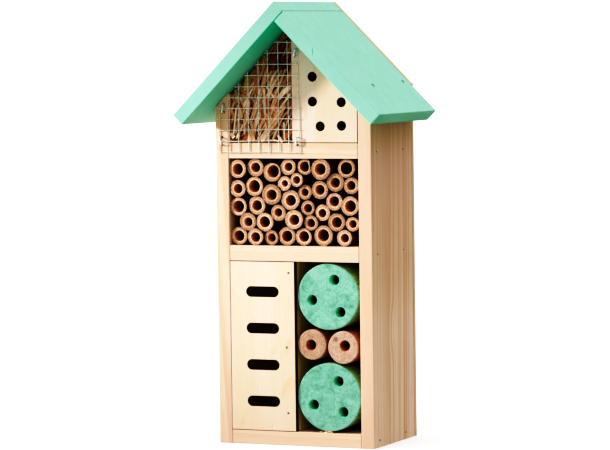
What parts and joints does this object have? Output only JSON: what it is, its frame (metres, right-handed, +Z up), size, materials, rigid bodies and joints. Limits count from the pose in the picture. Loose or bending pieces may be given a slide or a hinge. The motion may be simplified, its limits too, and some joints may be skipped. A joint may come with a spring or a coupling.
{
  "type": "insect hotel",
  "caption": "Tall wooden insect hotel with a painted gable roof, a slotted butterfly box, drilled log rounds, bamboo canes, and wood wool behind wire mesh.",
  "frame": {"origin": "middle of the bounding box on the surface the hotel stands on", "axes": "+Z up, -Y towards the open front, +X to the right seen from the front"},
  "size_m": [0.129, 0.0904, 0.2574],
  "materials": {
    "pine": "bare sawn pine, lightly sanded",
    "plywood": "bare cream plywood",
    "back_panel_wood": "thin bare sheet, tan",
    "mint_paint": "pine painted matt mint green",
    "mint_log": "log rounds painted matt mint green",
    "bamboo": "bare bamboo, dry",
    "bare_round_wood": "bare wood rounds",
    "wood_wool": "loose wood wool and shavings",
    "galvanised_wire": "galvanised wire",
    "staple_steel": "bright steel staples",
    "hanger_steel": "plated steel"
  },
  "bodies": {
    "root": {"left_wall": "pine", "right_wall": "pine", "base_board": "pine", "lower_shelf": "pine", "upper_shelf": "pine", "lower_partition": "pine", "gable_partition": "pine", "roof_board_left": "mint_paint", "roof_board_right": "mint_paint", "back_panel": "back_panel_wood", "slot_panel": "plywood", "gable_plate": "plywood", "upper_log": "mint_log", "lower_log": "mint_log", "small_round_left": "bare_round_wood", "small_round_right": "bare_round_wood", "cane_01": "bamboo", "cane_02": "bamboo", "cane_03": "bamboo", "cane_04": "bamboo", "cane_05": "bamboo", "cane_06": "bamboo", "cane_07": "bamboo", "cane_08": "bamboo", "cane_09": "bamboo", "cane_10": "bamboo", "cane_11": "bamboo", "cane_12": "bamboo", "cane_13": "bamboo", "cane_14": "bamboo", "cane_15": "bamboo", "cane_16": "bamboo", "cane_17": "bamboo", "cane_18": "bamboo", "cane_19": "bamboo", "cane_20": "bamboo", "cane_21": "bamboo", "cane_22": "bamboo", "cane_23": "bamboo", "cane_24": "bamboo", "cane_25": "bamboo", "cane_26": "bamboo", "cane_27": "bamboo", "cane_28": "bamboo", "cane_29": "bamboo", "cane_30": "bamboo", "cane_31": "bamboo", "cane_32": "bamboo", "cane_33": "bamboo", "cane_34": "bamboo", "cane_35": "bamboo", "cane_36": "bamboo", "cane_37": "bamboo", "wood_wool": "wood_wool", "wire_mesh": "galvanised_wire", "staple_bottom_left": "staple_steel", "staple_top_left": "staple_steel", "staple_bottom_right": "staple_steel", "staple_top_right": "staple_steel", "hanger": "hanger_steel"}
  },
  "joints": []
}
